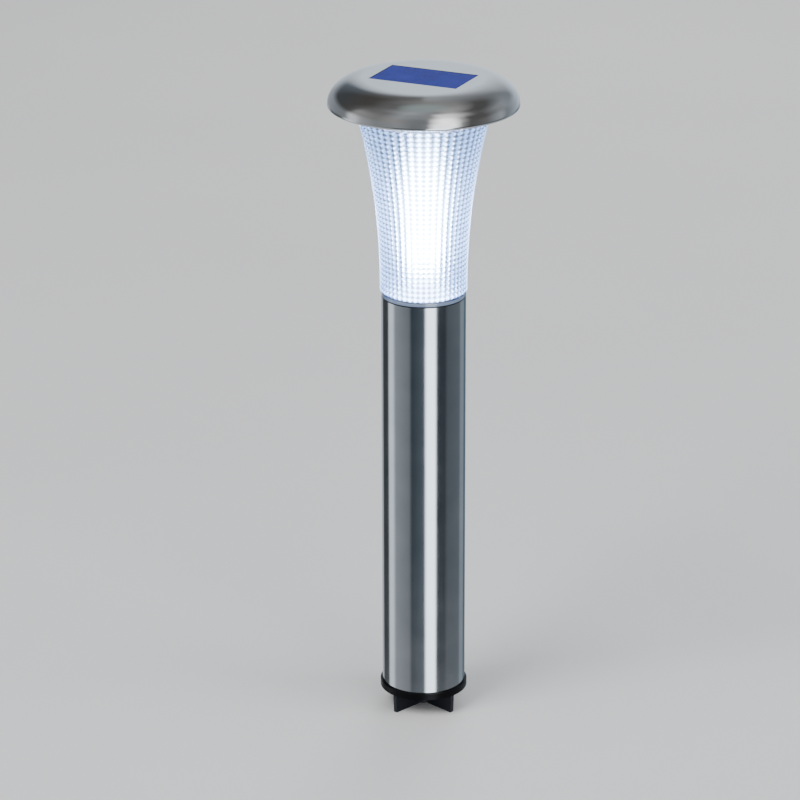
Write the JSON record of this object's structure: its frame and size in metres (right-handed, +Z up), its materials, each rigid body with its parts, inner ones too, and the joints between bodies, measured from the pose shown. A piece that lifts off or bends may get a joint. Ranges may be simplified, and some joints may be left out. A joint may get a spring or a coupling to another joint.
{
  "type": "solar garden light",
  "caption": "Solar garden light: steel stem on a ground spike, flared clear prismatic lens, and a round steel head with a solar window.",
  "frame": {"origin": "on the lamp's axis at soil level, where the ground spike enters the soil", "axes": "+Z up along the stem, -Y towards the viewer of the reference view, +X to the viewer's right"},
  "size_m": [0.1338, 0.1338, 0.6181],
  "materials": {
    "black_plastic": "moulded, matt",
    "brushed_stainless": "brushed along the tube",
    "spun_stainless": "spun, satin to polished",
    "clear_lens": "clear moulded prisms",
    "mirror_plastic": "metallised",
    "seal_rubber": "soft, matt",
    "white_plastic": "moulded, satin",
    "cover_glass": "clear, glossy",
    "silicon": "dark violet-blue, glossy",
    "backing_board": "laminate, matt",
    "green_board": "solder mask, glossy",
    "zinc_steel": "zinc plated",
    "chip_black": "moulded, matt",
    "coil_green": "lacquered",
    "led_clear": "clear epoxy",
    "switch_metal": "plated sheet",
    "red_plastic": "moulded, satin",
    "battery_sleeve": "shrink sleeve over a steel can",
    "nickel": "nickel plated",
    "red_lead": "insulated wire",
    "black_lead": "insulated wire"
  },
  "bodies": {
    "spike": {"ground_spike": "black_plastic"},
    "stem": {"base_socket": "black_plastic", "stem_tube": "brushed_stainless", "lens_holder": "black_plastic"},
    "lens": {"prismatic_lens": "clear_lens", "lens_mouth": "clear_lens", "lens_lugs": "clear_lens", "reflector_cone": "mirror_plastic"},
    "seal": {"mouth_seal": "seal_rubber"},
    "head": {"head_cap": "spun_stainless", "cap_studs": "zinc_steel", "stud_nuts": "zinc_steel", "window_gasket": "seal_rubber", "solar_cover": "cover_glass", "solar_cells": "silicon", "solar_backing": "backing_board", "head_tray": "white_plastic", "bayonet_tongues": "white_plastic", "circuit_board": "green_board", "board_screws": "zinc_steel", "driver_chip": "chip_black", "inductor": "coil_green", "led_lamp": "led_clear", "switch_body": "switch_metal", "contact_plate": "nickel", "contact_spring": "nickel", "solar_lead_red": "red_lead", "solar_lead_black": "black_lead", "battery_lead_red": "red_lead", "battery_lead_black": "black_lead"},
    "switch_knob": {"switch_knob": "red_plastic"},
    "battery_door": {"battery_door": "white_plastic", "door_screws": "zinc_steel", "battery": "battery_sleeve"}
  },
  "joints": [
    {"name": "stem_lift", "type": "slide", "parent": "spike", "child": "stem", "axis": [0, 0, 1], "range_m": [0, 0.035]},
    {"name": "lens_lift", "type": "slide", "parent": "stem", "child": "lens", "axis": [0, 0, 1], "range_m": [0, 0.02]},
    {"name": "head_lift", "type": "slide", "parent": "lens", "child": "seal", "axis": [0, 0, 1], "range_m": [0, 0.03]},
    {"name": "head_turn", "type": "hinge", "parent": "seal", "child": "head", "pos_m": [0, 0, 0.4505], "axis": [0, 0, 1], "range_deg": [-30, 0]},
    {"name": "switch_slide", "type": "slide", "parent": "head", "child": "switch_knob", "axis": [1, 0, 0], "range_m": [0, 0.002]},
    {"name": "door_drop", "type": "slide", "parent": "head", "child": "battery_door", "axis": [0, 0, -1], "range_m": [0, 0.02]}
  ]
}
